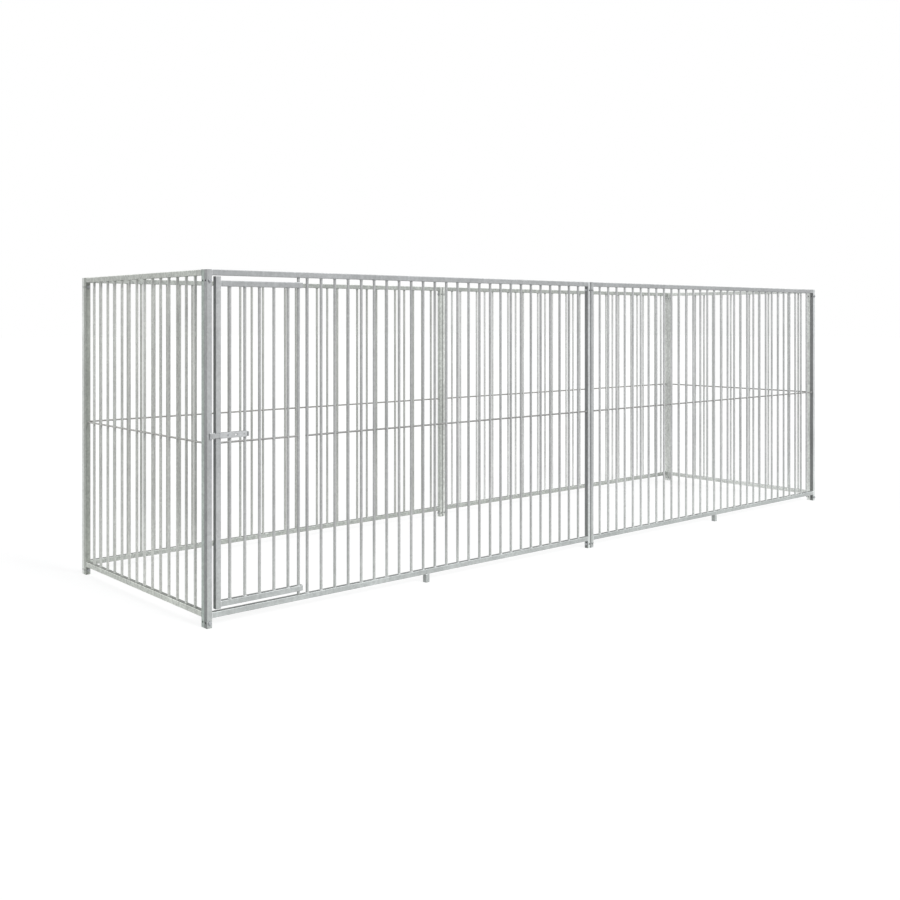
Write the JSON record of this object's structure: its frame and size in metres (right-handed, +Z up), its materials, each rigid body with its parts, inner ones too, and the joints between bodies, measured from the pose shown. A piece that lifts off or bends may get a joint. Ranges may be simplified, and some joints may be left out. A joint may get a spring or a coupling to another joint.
{
  "type": "outdoor dog kennel run",
  "caption": "Free-standing outdoor dog run of bolted galvanised bar panels, with a pivoting door and a slide latch.",
  "frame": {"origin": "middle of the run on the ground", "axes": "+X along the run to the right seen from the front, +Y from the door side to the back, +Z up"},
  "size_m": [6, 1.5828, 1.84],
  "materials": {
    "galvanised_front": "hot-dip galvanised, light cool grey",
    "galvanised_rear": "hot-dip galvanised, pale grey with a faint green cast",
    "zinc_plated": "bright zinc plate"
  },
  "bodies": {
    "frame": {"back_left_bars": "galvanised_rear", "back_left_bottom_rail": "galvanised_rear", "back_left_left_post": "galvanised_rear", "back_left_mid_rod": "galvanised_rear", "back_left_right_post": "galvanised_rear", "back_left_top_rail": "galvanised_rear", "back_right_bars": "galvanised_rear", "back_right_bottom_rail": "galvanised_rear", "back_right_left_post": "galvanised_rear", "back_right_mid_rod": "galvanised_rear", "back_right_right_post": "galvanised_rear", "back_right_top_rail": "galvanised_rear", "front_left_bars": "galvanised_front", "front_left_bottom_rail": "galvanised_front", "front_left_left_post": "galvanised_front", "front_left_mid_foot": "galvanised_front", "front_left_mid_rod": "galvanised_front", "front_left_right_post": "galvanised_front", "front_left_top_rail": "galvanised_front", "front_right_bars": "galvanised_front", "front_right_bottom_rail": "galvanised_front", "front_right_left_post": "galvanised_front", "front_right_mid_foot": "galvanised_front", "front_right_mid_rod": "galvanised_front", "front_right_right_post": "galvanised_front", "front_right_top_rail": "galvanised_front", "joint_bolts": "zinc_plated", "joint_nuts": "zinc_plated", "joint_washers": "zinc_plated", "latch_keeper": "galvanised_front", "left_end_back_post": "galvanised_rear", "left_end_bars": "galvanised_rear", "left_end_bottom_rail": "galvanised_rear", "left_end_front_post": "galvanised_rear", "left_end_mid_rod": "galvanised_rear", "left_end_top_rail": "galvanised_rear", "right_end_back_post": "galvanised_rear", "right_end_bars": "galvanised_rear", "right_end_bottom_rail": "galvanised_rear", "right_end_front_post": "galvanised_rear", "right_end_mid_rod": "galvanised_rear", "right_end_top_rail": "galvanised_rear"},
    "door": {"door_latch_stile": "galvanised_front", "door_top_rail": "galvanised_front", "door_bottom_rail": "galvanised_front", "door_bars": "galvanised_front", "door_hinge_bar": "galvanised_front", "door_mid_rod": "galvanised_front", "latch_guide": "galvanised_front", "latch_rivet": "zinc_plated"},
    "latch_bolt": {"latch_bolt": "galvanised_front"}
  },
  "joints": [
    {"name": "door_hinge", "type": "hinge", "parent": "frame", "child": "door", "pos_m": [-2.428, -0.765, 0.9], "axis": [0, 0, 1], "range_deg": [0, 150]},
    {"name": "latch_slide", "type": "slide", "parent": "door", "child": "latch_bolt", "axis": [1, 0, 0], "range_m": [0, 0.04]}
  ]
}
